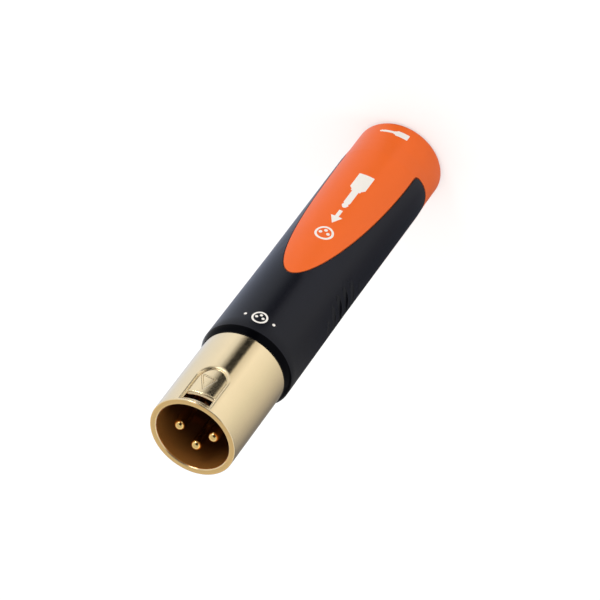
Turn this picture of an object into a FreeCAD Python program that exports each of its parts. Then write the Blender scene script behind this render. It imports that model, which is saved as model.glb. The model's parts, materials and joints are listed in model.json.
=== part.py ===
"""Jack to XLR adapter, in millimetres.

It stands on the flat end of its cap, with the jack socket's mouth on the floor, the axis along +Z and the
XLR mouth at the top. The origin is the centre of that flat end. The latch window faces -Y.
"""
import FreeCAD, Part
import Sketcher
import math
import os
from FreeCAD import Placement, Rotation, Vector

doc = FreeCAD.newDocument("Adapter")
sheet = doc.addObject("Spreadsheet::Sheet", "Sizes")
nodes = []


class Size:
    """A length that knows its number and its formula on the sheet, so that a sum of sizes stays bound."""

    def __init__(self, value, formula):
        self.value = value
        self.formula = formula

    def __add__(self, other):
        other = as_size(other)
        return Size(self.value + other.value, f"({self.formula} + {other.formula})")

    def __sub__(self, other):
        other = as_size(other)
        return Size(self.value - other.value, f"({self.formula} - {other.formula})")

    def __mul__(self, other):
        other = as_size(other)
        return Size(self.value * other.value, f"({self.formula} * {other.formula})")

    def __truediv__(self, other):
        other = as_size(other)
        return Size(self.value / other.value, f"({self.formula} / {other.formula})")

    def __neg__(self):
        return Size(-self.value, f"(-1 * {self.formula})")


def as_size(number):
    return number if isinstance(number, Size) else Size(float(number), f"({float(number)})")


def size(name, value, note):
    """Puts a driving dimension on the sheet: what it is, then its value in a cell called name."""
    size.row += 1
    cell = f"B{size.row}"
    sheet.set(f"A{size.row}", note)
    sheet.set(cell, str(value))
    sheet.setAlias(cell, name)
    return Size(float(sheet.getContents(cell)), f"Sizes.{name}")


size.row = 0

# Overall lengths, up the axis
total_length = size("total_length", 101.7, "flat end of the cap to the mouth of the shell")
shell_reach = size("shell_reach", 23.1, "shell that shows beyond the handle")

# XLR shell, a die casting
shell_width = size("shell_width", 19.0, "shell, outside diameter")
shell_wall = size("shell_wall", 1.375, "wall of the shell round the mouth")
mouth_depth = size("mouth_depth", 16.5, "mouth to the face of the insert")
rim_round = size("rim_round", 0.25, "edges of the mouth")
ledge_step = size("ledge_step", 0.525, "ledge that stops the insert, inwards from the mouth's wall")
ledge_height = size("ledge_height", 1.2, "thickness of that ledge")
spigot_step = size("spigot_step", 0.5, "step from the shell to its spigot inside the handle")
spigot_length = size("spigot_length", 14.0, "its length")
spigot_wall = size("spigot_wall", 1.0, "wall of the spigot")
snap_depth = size("snap_depth", 0.25, "snap groove in the spigot, depth")
snap_height = size("snap_height", 1.6, "snap groove, width")
snap_place = size("snap_place", 6.8, "snap groove, middle, below the collar")
key_width = size("key_width", 2.4, "slot in the spigot that sets its angle, width")
key_height = size("key_height", 4.6, "that slot, height")

# Latch window in the shell
window_width = size("window_width", 6.35, "latch window, width inside its bevel")
window_top = size("window_top", 11.68, "top of its arch inside the bevel, from the mouth")
window_lip = size("window_lip", 0.87, "foot of the window inside the bevel, from the mouth")
window_bevel = size("window_bevel", 0.42, "bevel round the window, across the shell")
bevel_depth = size("bevel_depth", 0.22, "that bevel, depth below the shell")
pad_recess = size("pad_recess", 0.5, "depth of the pad below the shell")
latch_slot_side = size("latch_slot_side", 0.22, "through slot, narrower than the window at each side")
latch_slot_height = size("latch_slot_height", 2.25, "through slot, height")
latch_slot_place = size("latch_slot_place", 1.45, "through slot, from the mouth")
latch_slot_round = size("latch_slot_round", 0.3, "round where the pad meets the slot")

# Insert and contacts
insert_depth = size("insert_depth", 8.0, "body of the insert behind the ledge")
pin_circle = size("pin_circle", 3.81, "contacts, distance from the axis")
pin_width = size("pin_width", 2.4, "contact pin, diameter")
pin_setback = size("pin_setback", 1.3, "tip of a pin below the mouth")
pin_shank_width = size("pin_shank_width", 3.0, "shank of a pin inside the insert, diameter")
pin_shoulder_width = size("pin_shoulder_width", 3.8, "shoulder of a pin in the insert, diameter")
pin_shoulder_height = size("pin_shoulder_height", 4.2, "its height")
cup_width = size("cup_width", 2.9, "solder cup, outside diameter")
cup_bore = size("cup_bore", 2.0, "solder cup, inside diameter")
cup_length = size("cup_length", 4.4, "solder cup, length behind the insert")
cup_depth = size("cup_depth", 3.0, "solder cup, depth of its hole")
cup_cut = size("cup_cut", 1.8, "cut-away side of the cup, height")
circlip_height = size("circlip_height", 0.85, "circlip, thickness")
circlip_bite = size("circlip_bite", 0.45, "circlip, depth in its groove")
circlip_reach = size("circlip_reach", 0.7, "circlip, inwards from the bore")
circlip_gap = size("circlip_gap", 44.0, "circlip, opening in degrees")
earth_width = size("earth_width", 2.4, "earth spring, width of the strip")
earth_thickness = size("earth_thickness", 0.3, "earth spring, thickness")
earth_tip = size("earth_tip", 0.4, "earth spring's end, below the ledge")
earth_bulge = size("earth_bulge", 0.2, "earth spring's bulge towards the shell")
earth_bend = size("earth_bend", 2.0, "half the length of that bulge")
earth_step = size("earth_step", 1.5, "earth spring's solder tag, inwards from the spring")
spring_room = size("spring_room", 0.2, "room beside a spring or a tag")

# Handle and end cap, two mouldings
collar_step = size("collar_step", 0.82, "step from the shell up to the handle's full width")
waist_dip = size("waist_dip", 0.12, "narrowest place of the waist, below the full width")
waist_place = size("waist_place", 49.0, "narrowest place of the waist, from the flat end")
collar_chamfer = size("collar_chamfer", 0.7, "chamfer beside the shell, inwards")
collar_slope = size("collar_slope", 1.6, "chamfer beside the shell, along the axis")
cap_dip = size("cap_dip", 0.17, "end ring of the cap, below the full width")
cap_step_low = size("cap_step_low", 7.4, "top of the straight end ring, from the flat end")
cap_step_high = size("cap_step_high", 11.6, "where the waist starts, from the flat end")
cap_round = size("cap_round", 1.3, "round at the flat end")
cap_wall = size("cap_wall", 1.37, "ring and tongues of the cap, thickness at the full width")
cap_floor = size("cap_floor", 2.0, "cap's end wall between the washer and the handle")
ring_height = size("ring_height", 9.3, "end ring at the middle of the black tongue")
ring_crown = size("ring_crown", 1.5, "rise of the ring's edge towards the orange tongue")
black_tongue_width = size("black_tongue_width", 12.4, "black tongue between two orange ones, width")
black_tongue_round = size("black_tongue_round", 1.7, "corners of the black tongue")
tongue_reach = size("tongue_reach", 57.1, "tip of an orange tongue, from the flat end")
tongue_root = size("tongue_root", 11.7, "widest place of an orange tongue, from the flat end")
tongue_width = size("tongue_width", 16.4, "orange tongue at its widest, straight across")
seat_gap = size("seat_gap", 0.15, "gap round the cap where it lies in the handle")
seat_wall = size("seat_wall", 1.2, "handle's wall under the cap")
handle_floor = size("handle_floor", 2.0, "end wall of the handle")
fit_gap = size("fit_gap", 0.05, "gap between parts that slide together")

# Grip grooves, straight bars cut across both flanks
grip_count = 6
grip_pitch = size("grip_pitch", 3.05, "from one grip groove to the next")
grip_middle = size("grip_middle", 51.6, "middle of the group, from the flat end")
grip_width = size("grip_width", 1.6, "grip groove, width")
grip_depth = size("grip_depth", 1.15, "deepest groove, at the middle of the group")
grip_reach = size("grip_reach", 8.2, "where the grooves run out, from the middle of the group")

# Jack socket
plug_bore = size("plug_bore", 6.5, "bore that takes the plug, diameter")
bush_setback = size("bush_setback", 0.2, "bush and nut, back from the flat end")
bush_wall = size("bush_wall", 1.25, "wall of the threaded barrel")
flange_gap = size("flange_gap", 0.4, "gap round the bush's flange")
bush_flange_height = size("bush_flange_height", 1.0, "flange of the bush, thickness")
tail_step = size("tail_step", 0.5, "step from the barrel to its tail in the frame")
bush_tail_length = size("bush_tail_length", 3.0, "tail of the bush, length")
nut_wall = size("nut_wall", 1.8, "ring of the nut")
nut_height = size("nut_height", 1.6, "ring nut, thickness")
nut_slot_width = size("nut_slot_width", 1.5, "spanner slot of the nut, width")
nut_slot_depth = size("nut_slot_depth", 0.8, "spanner slot of the nut, depth")
nut_chamfer = size("nut_chamfer", 0.2, "chamfers of the nut and the barrel")
plug_lead = size("plug_lead", 0.4, "chamfer that leads the plug in")
washer_height = size("washer_height", 0.4, "washer, thickness")
recess_gap = size("recess_gap", 0.3, "gap round the nut in the cap's recess")
cavity_gap = size("cavity_gap", 0.4, "plug cavity in the frame, wider than the bore at each side")
cavity_end = size("cavity_end", 6.9, "end of the plug cavity, beyond the tip contact")
frame_end = size("frame_end", 1.5, "wall of the frame beyond the cavity")
rear_plate_height = size("rear_plate_height", 1.6, "rear plate, thickness")
leaf_width = size("leaf_width", 4.0, "contact leaf, width")
leaf_thickness = size("leaf_thickness", 0.4, "contact leaf, thickness")
leaf_stand = size("leaf_stand", 1.35, "contact leaf where it is held, outwards from the cavity")
leaf_press = size("leaf_press", 0.4, "bend of a leaf at rest, into the plug's way")
leaf_lift = size("leaf_lift", 1.55, "free end of a leaf, outwards from its bend")
leaf_slope = size("leaf_slope", 3.4, "height of the slope from the held part to the bend")
leaf_end = size("leaf_end", 2.2, "free end below the bend")
leaf_room = size("leaf_room", 0.3, "room at each side of a leaf")
leaf_clear = size("leaf_clear", 1.6, "window in the frame, below a leaf's free end")
tag_reach = size("tag_reach", 4.0, "solder tag beyond the rear plate")
tip_contact = size("tip_contact", 26.6, "bend of the tip leaf, from the flat end")
sleeve_contact = size("sleeve_contact", 15.5, "bend of the sleeve leaf, from the flat end")

# Wires
wire_width = size("wire_width", 1.6, "insulated wire, diameter")
strand_width = size("strand_width", 0.8, "its conductor, diameter")
link_width = size("link_width", 0.5, "bare link wire, diameter")
tag_overlap = size("tag_overlap", 3.2, "conductor beside a tag, length")
cup_overlap = size("cup_overlap", 2.7, "conductor in a solder cup, length")
tag_bare = size("tag_bare", 0.4, "conductor that shows above a tag")
hot_bare = size("hot_bare", 1.2, "conductor of the hot wire that shows below its cup")
earth_bare = size("earth_bare", 3.3, "conductor of the earth wire that shows below its cup")
earth_shift = size("earth_shift", 0.35, "earth conductor, outwards from the middle of its cup")
link_shift = size("link_shift", 0.5, "link wire, inwards from the middle of the same cup")
link_drop = size("link_drop", 2.4, "link wire's cross run, below the cups")
solder_gap = size("solder_gap", 0.03, "gap between a conductor and its tag")
overcut = size("overcut", 1.0, "how far a cutting block reaches beyond what it cuts")

# Widths that follow from the sizes
mouth_width = shell_width - shell_wall * 2
ledge_width = mouth_width - ledge_step * 2
spigot_width = shell_width - spigot_step * 2
spigot_bore = spigot_width - spigot_wall * 2
circlip_bore = spigot_bore - circlip_reach * 2
latch_slot_width = window_width - latch_slot_side * 2
handle_width = shell_width + collar_step * 2
waist_width = handle_width - waist_dip * 2
cap_width = handle_width - cap_dip * 2
cap_bore = handle_width - cap_wall * 2
handle_bore = cap_bore - fit_gap * 2 - seat_wall * 2
bush_width = plug_bore + bush_wall * 2
bush_tail_width = bush_width + tail_step * 2
bush_flange_width = handle_bore - flange_gap * 2
nut_width = bush_width + nut_wall * 2
recess_width = nut_width + recess_gap * 2
cavity_width = plug_bore + cavity_gap * 2
leaf_place = cavity_width / 2 + leaf_stand
leaf_rest = plug_bore / 2 - leaf_press
leaf_free = leaf_rest + leaf_lift

# Levels up the axis that follow from the sizes
collar = total_length - shell_reach
spigot_end = collar - spigot_length
insert_face = total_length - mouth_depth
ledge_low = insert_face - ledge_height
insert_rear = ledge_low - insert_depth
cup_end = insert_rear - cup_length
nut_top = bush_setback + nut_height
recess_depth = nut_top + washer_height
cap_inside = recess_depth + cap_floor
handle_low = cap_inside + fit_gap
handle_inside = handle_low + handle_floor
flange_top = handle_inside + bush_flange_height
frame_low = flange_top + fit_gap
tail_top = flange_top + bush_tail_length
cavity_top = tip_contact + cavity_end
frame_top = cavity_top + frame_end
plate_low = frame_top + fit_gap
plate_top = plate_low + rear_plate_height
tag_top = plate_top + tag_reach


def bind(thing, prop, length):
    thing.setExpression(prop, as_size(length).formula)


def place(thing, across=0, back=0, up=0):
    """Binds the place of a part to sizes."""
    for axis, length in (("x", across), ("y", back), ("z", up)):
        bind(thing, "Placement.Base." + axis, length)


def plane_of(body, role):
    return [plane for plane in body.Origin.OriginFeatures if plane.Role == role][0]


def new_sketch(body, role, name):
    sketch = body.newObject("Sketcher::SketchObject", name)
    sketch.AttachmentSupport = [(plane_of(body, role), "")]
    sketch.MapMode = "FlatFace"
    return sketch


def fix(sketch, edge, end, across, up):
    """Holds one end of an edge at a distance across and up from the sketch's origin."""
    ways = (("DistanceX", as_size(across), -2, "across"), ("DistanceY", as_size(up), -1, "up"))
    for kind, length, axis, word in ways:
        if length.value == 0:
            sketch.addConstraint(Sketcher.Constraint("PointOnObject", edge, end, axis))
            continue
        index = sketch.addConstraint(Sketcher.Constraint(kind, -1, 1, edge, end, length.value))
        sketch.renameConstraint(index, f"{word}_{edge}_{end}")
        bind(sketch, f"Constraints.{word}_{edge}_{end}", length)


def arc_between(start, finish, radius):
    """The short arc from start to finish. Its centre lies left of the way there if radius is positive."""
    half = (finish - start) * 0.5
    rise = (radius * radius - half.Length * half.Length) ** 0.5
    left = Vector(-half.y, half.x, 0).normalize()
    centre = start + half + left * (rise if radius > 0 else -rise)
    first, last = (start, finish) if radius > 0 else (finish, start)
    circle = Part.Circle(centre, Vector(0, 0, 1), abs(radius))
    return Part.ArcOfCircle(circle, circle.parameter(first), circle.parameter(last))


def draw(sketch, points, closed=True):
    """Lines through points (across, up). A third number is the radius of an arc that reaches the point."""
    spots = [Vector(as_size(point[0]).value, as_size(point[1]).value, 0) for point in points]
    steps = list(range(1, len(points))) + ([0] if closed else [])
    ends = []
    for step in steps:
        start, finish = spots[step - 1], spots[step]
        if len(points[step]) == 3:
            bend = as_size(points[step][2])
            edge = sketch.addGeometry(arc_between(start, finish, bend.value), False)
            size_of_bend = bend if bend.value > 0 else -bend
            index = sketch.addConstraint(Sketcher.Constraint("Radius", edge, size_of_bend.value))
            sketch.renameConstraint(index, f"bend_{edge}")
            bind(sketch, f"Constraints.bend_{edge}", size_of_bend)
            ends.append((edge, 1, 2) if bend.value > 0 else (edge, 2, 1))
        else:
            edge = sketch.addGeometry(Part.LineSegment(start, finish), False)
            ends.append((edge, 1, 2))
    for number, (edge, start_end, _) in enumerate(ends):
        fix(sketch, edge, start_end, *points[steps[number] - 1][:2])
        if closed or number > 0:
            before = ends[number - 1]
            sketch.addConstraint(Sketcher.Constraint("Coincident", before[0], before[2], edge, start_end))
    if not closed:
        fix(sketch, ends[-1][0], ends[-1][2], *points[-1][:2])
    return sketch


def turned(name, points, angle=360):
    """A body turned from an outline of (radius, height) points."""
    body = doc.addObject("PartDesign::Body", name)
    sketch = draw(new_sketch(body, "XZ_Plane", name + "_outline"), points)
    turning = body.newObject("PartDesign::Revolution", name + "_turning")
    turning.Profile = sketch
    turning.ReferenceAxis = (sketch, ["V_Axis"])
    bind(turning, "Angle", angle)
    return body


def cylinder(name, width, low, high):
    """An upright cylinder on the axis, between two levels."""
    drum = doc.addObject("Part::Cylinder", name)
    bind(drum, "Radius", width / 2)
    bind(drum, "Height", high - low)
    place(drum, up=low)
    return drum


def block(name, corner, lengths):
    """A box with its lowest corner and its lengths along X, Y and Z bound to sizes."""
    box = doc.addObject("Part::Box", name)
    for prop, length in zip(("Length", "Width", "Height"), lengths):
        bind(box, prop, length)
    place(box, *corner)
    return box


def joined(name, pieces):
    union = doc.addObject("Part::MultiFuse", name)
    union.Shapes = pieces
    return union


def cut(name, base, tool):
    difference = doc.addObject("Part::Cut", name)
    difference.Base = base
    difference.Tool = tool
    return difference


def common(name, base, tool):
    overlap = doc.addObject("Part::Common", name)
    overlap.Base = base
    overlap.Tool = tool
    return overlap


def strip(name, path, width, thickness):
    """A strip of sheet metal, bent along a path of (back, up) points. Its first stretch is upright."""
    body = doc.addObject("PartDesign::Body", name)
    spine = draw(new_sketch(body, "YZ_Plane", name + "_path"), path, closed=False)
    section = new_sketch(body, "XY_Plane", name + "_section")
    bind(section, "AttachmentOffset.Base.z", path[0][1])
    near = as_size(path[0][0]) - thickness / 2
    far = as_size(path[0][0]) + thickness / 2
    draw(section, [(-width / 2, near), (width / 2, near), (width / 2, far), (-width / 2, far)])
    pipe = body.newObject("PartDesign::AdditivePipe", name + "_bending")
    pipe.Profile = section
    pipe.Spine = (spine, [f"Edge{number + 1}" for number in range(len(path) - 1)])
    pipe.Transition = 1
    return body


def carry_on(name, base):
    """A body that works on from a finished form. Returns the body and its first feature."""
    body = doc.addObject("PartDesign::Body", name)
    body.BaseFeature = base
    doc.recompute()
    return body, body.Tip


def edges_where(feature, test):
    """Names of the edges whose ends and middle all pass a test."""
    names = []
    for number, edge in enumerate(feature.Shape.Edges):
        middle = edge.valueAt((edge.FirstParameter + edge.LastParameter) / 2)
        if all(test(point) for point in [middle] + [vertex.Point for vertex in edge.Vertexes]):
            names.append(f"Edge{number + 1}")
    return names


def keep(thing):
    """Marks a finished sub-part, which is written to a file named after it."""
    nodes.append(thing)
    return thing


# XLR shell: turned form with a ledge for the insert and a spigot that goes into the handle
snap_low = collar - snap_place - snap_height / 2
snap_high = snap_low + snap_height
circlip_top = insert_rear - fit_gap
circlip_low = circlip_top - circlip_height
groove_radius = spigot_bore / 2 + circlip_bite + fit_gap
shell_form = turned(
    "shell_form",
    [
        (mouth_width / 2, insert_face),
        (mouth_width / 2, total_length - rim_round),
        (mouth_width / 2 + rim_round, total_length),
        (shell_width / 2 - rim_round, total_length),
        (shell_width / 2, total_length - rim_round, -rim_round),
        (shell_width / 2, collar),
        (spigot_width / 2, collar),
        (spigot_width / 2, snap_high),
        (spigot_width / 2 - snap_depth, snap_high - snap_depth),
        (spigot_width / 2 - snap_depth, snap_low + snap_depth),
        (spigot_width / 2, snap_low),
        (spigot_width / 2, spigot_end + snap_depth),
        (spigot_width / 2 - snap_depth, spigot_end),
        (spigot_bore / 2, spigot_end),
        (spigot_bore / 2, circlip_low - fit_gap),
        (groove_radius, circlip_low - fit_gap),
        (groove_radius, circlip_top + fit_gap),
        (spigot_bore / 2, circlip_top + fit_gap),
        (spigot_bore / 2, ledge_low),
        (ledge_width / 2, ledge_low),
        (ledge_width / 2, insert_face),
    ],
)

# Latch window: an arched recess with a curved floor, and the slot that the latch drops into
arch_middle = total_length - window_top + window_width / 2
arch_box = block(
    "arch_box",
    (-window_width / 2, -shell_width / 2 - overcut, arch_middle),
    (window_width, shell_width / 2, total_length - window_lip - arch_middle),
)
arch_round = doc.addObject("Part::Cylinder", "arch_round")
bind(arch_round, "Radius", window_width / 2)
bind(arch_round, "Height", shell_width / 2)
arch_round.Placement.Rotation = Rotation(Vector(1, 0, 0), -90)
place(arch_round, back=-shell_width / 2 - overcut, up=arch_middle)
arch_floor = cylinder("arch_floor", shell_width - pad_recess * 2, spigot_end, total_length)
arch = cut("arch", joined("arch_outline", [arch_box, arch_round]), arch_floor)
latch_slot = block(
    "latch_slot",
    (-latch_slot_width / 2, -shell_width / 2 - overcut, total_length - latch_slot_place - latch_slot_height),
    (latch_slot_width, shell_width / 2, latch_slot_height),
)
key_slot = block(
    "key_slot",
    (-key_width / 2, 0, spigot_end - overcut),
    (key_width, shell_width, key_height + overcut),
)
shell_blank = cut("shell_blank", shell_form, joined("shell_cuts", [arch, latch_slot, key_slot]))

# Bevel along the window's outer edge, and a round where the latch slides off the pad into the slot
shell, blank = carry_on("xlr_shell", shell_blank)
near_window = window_width.value / 2 + 0.01
window_foot = total_length.value - window_lip.value + 0.01
slot_top = total_length.value - latch_slot_place.value - latch_slot_height.value


def on_window_edge(point):
    outside = abs(math.hypot(point.x, point.y) - shell_width.value / 2) < 0.001
    return outside and point.y < 0 and abs(point.x) < near_window and collar.value + 1 < point.z < window_foot


def on_slot_edge(point):
    pad = abs(math.hypot(point.x, point.y) - shell_width.value / 2 + pad_recess.value) < 0.001
    return pad and point.y < 0 and abs(point.z - slot_top) < 0.001


slot_rounding = shell.newObject("PartDesign::Fillet", "slot_rounding")
slot_rounding.Base = (blank, edges_where(blank, on_slot_edge))
bind(slot_rounding, "Radius", latch_slot_round)
doc.recompute()
bevelling = shell.newObject("PartDesign::Chamfer", "window_bevelling")
bevelling.Base = (slot_rounding, edges_where(slot_rounding, on_window_edge))
bevelling.ChamferType = "Two distances"
bind(bevelling, "Size", bevel_depth)
bind(bevelling, "Size2", window_bevel)
shell.Tip = bevelling
keep(shell)

# Insert: seats on the ledge, with three stepped holes and a recess for the earth spring
insert_form = turned(
    "insert_form",
    [
        (0, insert_rear),
        (spigot_bore / 2 - fit_gap, insert_rear),
        (spigot_bore / 2 - fit_gap, ledge_low),
        (ledge_width / 2 - fit_gap, ledge_low),
        (ledge_width / 2 - fit_gap, insert_face),
        (0, insert_face),
    ],
)
earth_place = spigot_bore / 2 - earth_thickness - spring_room
earth_recess = block(
    "earth_recess",
    (-earth_width / 2 - spring_room, -spigot_bore / 2, insert_rear),
    (earth_width + spring_room * 2, spigot_bore / 2 - earth_place + earth_thickness, insert_depth),
)
shoulder_top = insert_rear + pin_shoulder_height
pin_turns = (("pin_1", 1, 0), ("pin_2", -1, 0), ("pin_3", 0, 1))
holes = [earth_recess]
for name, across, back in pin_turns:
    for part, width, low, high in (
        ("hole", pin_shank_width + fit_gap, insert_rear, insert_face),
        ("counterbore", pin_shoulder_width + fit_gap, insert_rear, shoulder_top + fit_gap),
    ):
        hole = cylinder(f"{name}_{part}", width, low, high)
        place(hole, pin_circle * across, pin_circle * back, low)
        holes.append(hole)
keep(cut("xlr_insert", insert_form, joined("insert_cuts", holes)))

# Contact pins: round tip, shoulder in the insert, and a solder cup that is open on its outer side
pin_tip = total_length - pin_setback
for name, across, back in pin_turns:
    pin_form = turned(
        name + "_form",
        [
            (0, pin_tip - pin_width / 2),
            (0, pin_tip),
            (pin_width / 2, pin_tip - pin_width / 2, -pin_width / 2),
            (pin_width / 2, insert_face),
            (pin_shank_width / 2, insert_face),
            (pin_shank_width / 2, shoulder_top),
            (pin_shoulder_width / 2, shoulder_top),
            (pin_shoulder_width / 2, insert_rear),
            (cup_width / 2, insert_rear),
            (cup_width / 2, cup_end),
            (cup_bore / 2, cup_end),
            (cup_bore / 2, cup_end + cup_depth),
            (0, cup_end + cup_depth),
        ],
    )
    cup_side = block(
        name + "_cup_side", (0, -cup_width / 2, cup_end), (cup_width, cup_width, cup_cut)
    )
    pin = cut(name, pin_form, cup_side)
    pin.Placement.Rotation = Rotation(Vector(1, 0, 0), Vector(across, back, 0))
    place(pin, pin_circle * across, pin_circle * back)
    keep(pin)

# Circlip behind the insert, open towards the earth spring
circlip = turned(
    "insert_circlip",
    [
        (circlip_bore / 2, circlip_low),
        (spigot_bore / 2 + circlip_bite, circlip_low),
        (spigot_bore / 2 + circlip_bite, circlip_top),
        (circlip_bore / 2, circlip_top),
    ],
    angle=-circlip_gap + 360,
)
circlip.setExpression("Placement.Rotation.Angle", f"-90 + {circlip_gap.formula} / 2")
keep(circlip)

# Earth spring: rises beside the insert, bulges to the shell and ends in a solder tag
earth_tag = earth_place - earth_step
bulge_middle = ledge_low - earth_tip - earth_bend * 1.6
keep(
    strip(
        "shell_earth_spring",
        [
            (-earth_place, ledge_low - earth_tip),
            (-earth_place, bulge_middle + earth_bend),
            (-earth_place - earth_bulge, bulge_middle),
            (-earth_place, bulge_middle - earth_bend),
            (-earth_place, circlip_low - spring_room),
            (-earth_tag, circlip_low - spring_room - earth_step),
            (-earth_tag, cup_end),
        ],
        earth_width,
        earth_thickness,
    )
)

# Outer form of the handle and the cap together, so that the two stay flush
handle_form = turned(
    "handle_form",
    [
        (0, 0),
        (cap_width / 2 - cap_round, 0),
        (cap_width / 2, cap_round, cap_round),
        (cap_width / 2, cap_step_low),
        (handle_width / 2, cap_step_high),
        (waist_width / 2, waist_place),
        (handle_width / 2, collar - collar_slope),
        (handle_width / 2 - collar_chamfer, collar),
        (0, collar),
    ],
)


def cap_region(name, gap):
    """The space of the orange cap, grown by a gap all round: two tongues and the end ring."""
    tongue = doc.addObject("Part::Ellipse", name + "_tongue_outline")
    bind(tongue, "MajorRadius", tongue_reach - tongue_root + gap)
    bind(tongue, "MinorRadius", tongue_width / 2 + gap)
    tongue.Placement = Placement(Vector(0, 0, 0), Rotation(Vector(1, 1, 1), -120))
    place(tongue, up=tongue_root)
    tongues = doc.addObject("Part::Extrusion", name + "_tongues")
    tongues.Base = tongue
    tongues.DirMode = "Custom"
    tongues.Dir = Vector(0, 1, 0)
    tongues.Symmetric = True
    tongues.Solid = True
    bind(tongues, "LengthFwd", handle_width * 2)

    black = doc.addObject("PartDesign::Body", name + "_black_tongue")
    half = black_tongue_width / 2 - gap
    low = ring_height + ring_crown + gap
    edge_radius = (half * half + ring_crown * ring_crown) / (ring_crown * 2)
    outline = draw(
        new_sketch(black, "YZ_Plane", name + "_black_outline"),
        [(-half, low), (half, low, edge_radius), (half, total_length), (-half, total_length)],
    )
    slab = black.newObject("PartDesign::Pad", name + "_black_slab")
    slab.Profile = outline
    slab.Midplane = True
    bind(slab, "Length", handle_width * 2)
    doc.recompute()
    boxes = [edge.BoundBox for edge in slab.Shape.Edges]
    corners = [
        f"Edge{number + 1}"
        for number, box in enumerate(boxes)
        if max(box.YLength, box.ZLength) < 0.001 and box.ZMax < low.value + 1
    ]
    rounding = black.newObject("PartDesign::Fillet", name + "_black_corners")
    rounding.Base = (slab, corners)
    bind(rounding, "Radius", black_tongue_round)
    black.Tip = rounding

    ring_top = tongue_root + black_tongue_width / 2
    ring_disc = cylinder(name + "_ring_disc", handle_width + overcut * 2, -overcut, ring_top)
    return joined(name, [tongues, cut(name + "_ring", ring_disc, black)])


# End cap: ring, end wall and two tongues in one moulding, with a recess for the nut
cap_space = cap_region("cap_space", as_size(0))
cap_core = joined(
    "cap_core",
    [
        cylinder("cap_hollow", cap_bore, cap_inside, total_length),
        cylinder("cap_hole", bush_width + fit_gap * 2, -overcut, total_length),
        cylinder("cap_recess", recess_width, -overcut, recess_depth),
    ],
)
keep(cut("end_cap", common("cap_form", handle_form, cap_space), cap_core))

# Handle: the rest of the same form, with a seat for the cap, a bore in two steps and the grip grooves
seat_core = cylinder("seat_core", cap_bore - fit_gap * 2, handle_low, total_length)
cap_seat = cut("cap_seat", cap_region("seat_space", seat_gap), seat_core)
socket_radius = spigot_width / 2 + fit_gap
bead_inset = snap_depth - fit_gap
handle_hollow = turned(
    "handle_hollow",
    [
        (0, 0),
        (bush_width / 2 + fit_gap, 0),
        (bush_width / 2 + fit_gap, handle_inside),
        (handle_bore / 2, handle_inside),
        (handle_bore / 2, spigot_end - fit_gap),
        (socket_radius, spigot_end - fit_gap),
        (socket_radius, snap_low + fit_gap),
        (socket_radius - bead_inset, snap_low + fit_gap + bead_inset),
        (socket_radius - bead_inset, snap_high - fit_gap - bead_inset),
        (socket_radius, snap_high - fit_gap),
        (socket_radius, total_length),
        (0, total_length),
    ],
)
key_rib = block(
    "key_rib",
    (-key_width / 2 + fit_gap, spigot_bore / 2 + fit_gap, spigot_end - fit_gap),
    (key_width - fit_gap * 2, spigot_width, key_height),
)
keyed_hollow = cut("keyed_hollow", handle_hollow, key_rib)
grips = []
for number in range(grip_count):
    offset = grip_pitch * (number - (grip_count - 1) / 2)
    depth = grip_depth - grip_depth * offset * offset / (grip_reach * grip_reach)
    for side, word in ((-1, "left"), (1, "right")):
        bar = doc.addObject("Part::Cylinder", f"grip_{word}_{number + 1}")
        bind(bar, "Radius", grip_width / 2)
        bind(bar, "Height", handle_width)
        bar.Placement.Rotation = Rotation(Vector(1, 0, 0), -90)
        axis_place = waist_width / 2 - depth + grip_width / 2
        place(bar, axis_place * side, -handle_width / 2, grip_middle + offset)
        grips.append(bar)
handle_cuts = joined("handle_cuts", [cap_seat, keyed_hollow] + grips)
keep(cut("handle_body", handle_form, handle_cuts))

# Jack bush: the barrel passes both end walls, the flange bears on the handle, the tail holds the frame
keep(
    turned(
        "jack_bush",
        [
            (plug_bore / 2, bush_setback + plug_lead),
            (plug_bore / 2 + plug_lead, bush_setback),
            (bush_width / 2 - nut_chamfer, bush_setback),
            (bush_width / 2, bush_setback + nut_chamfer),
            (bush_width / 2, handle_inside),
            (bush_flange_width / 2, handle_inside),
            (bush_flange_width / 2, flange_top),
            (bush_tail_width / 2, flange_top),
            (bush_tail_width / 2, tail_top),
            (plug_bore / 2, tail_top),
        ],
    )
)

# Washer and slotted ring nut in the cap's recess
bush_hole = bush_width / 2 + fit_gap
keep(
    turned(
        "jack_washer",
        [
            (bush_hole, nut_top),
            (nut_width / 2, nut_top),
            (nut_width / 2, recess_depth),
            (bush_hole, recess_depth),
        ],
    )
)
nut_form = turned(
    "nut_form",
    [
        (bush_hole, bush_setback),
        (nut_width / 2 - nut_chamfer, bush_setback),
        (nut_width / 2, bush_setback + nut_chamfer),
        (nut_width / 2, nut_top),
        (bush_hole, nut_top),
    ],
)
nut_slot = block(
    "nut_slot",
    (-nut_width / 2 - overcut, -nut_slot_width / 2, bush_setback - overcut),
    (nut_width + overcut * 2, nut_slot_width, nut_slot_depth + overcut),
)
keep(cut("jack_nut", nut_form, nut_slot))

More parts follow.
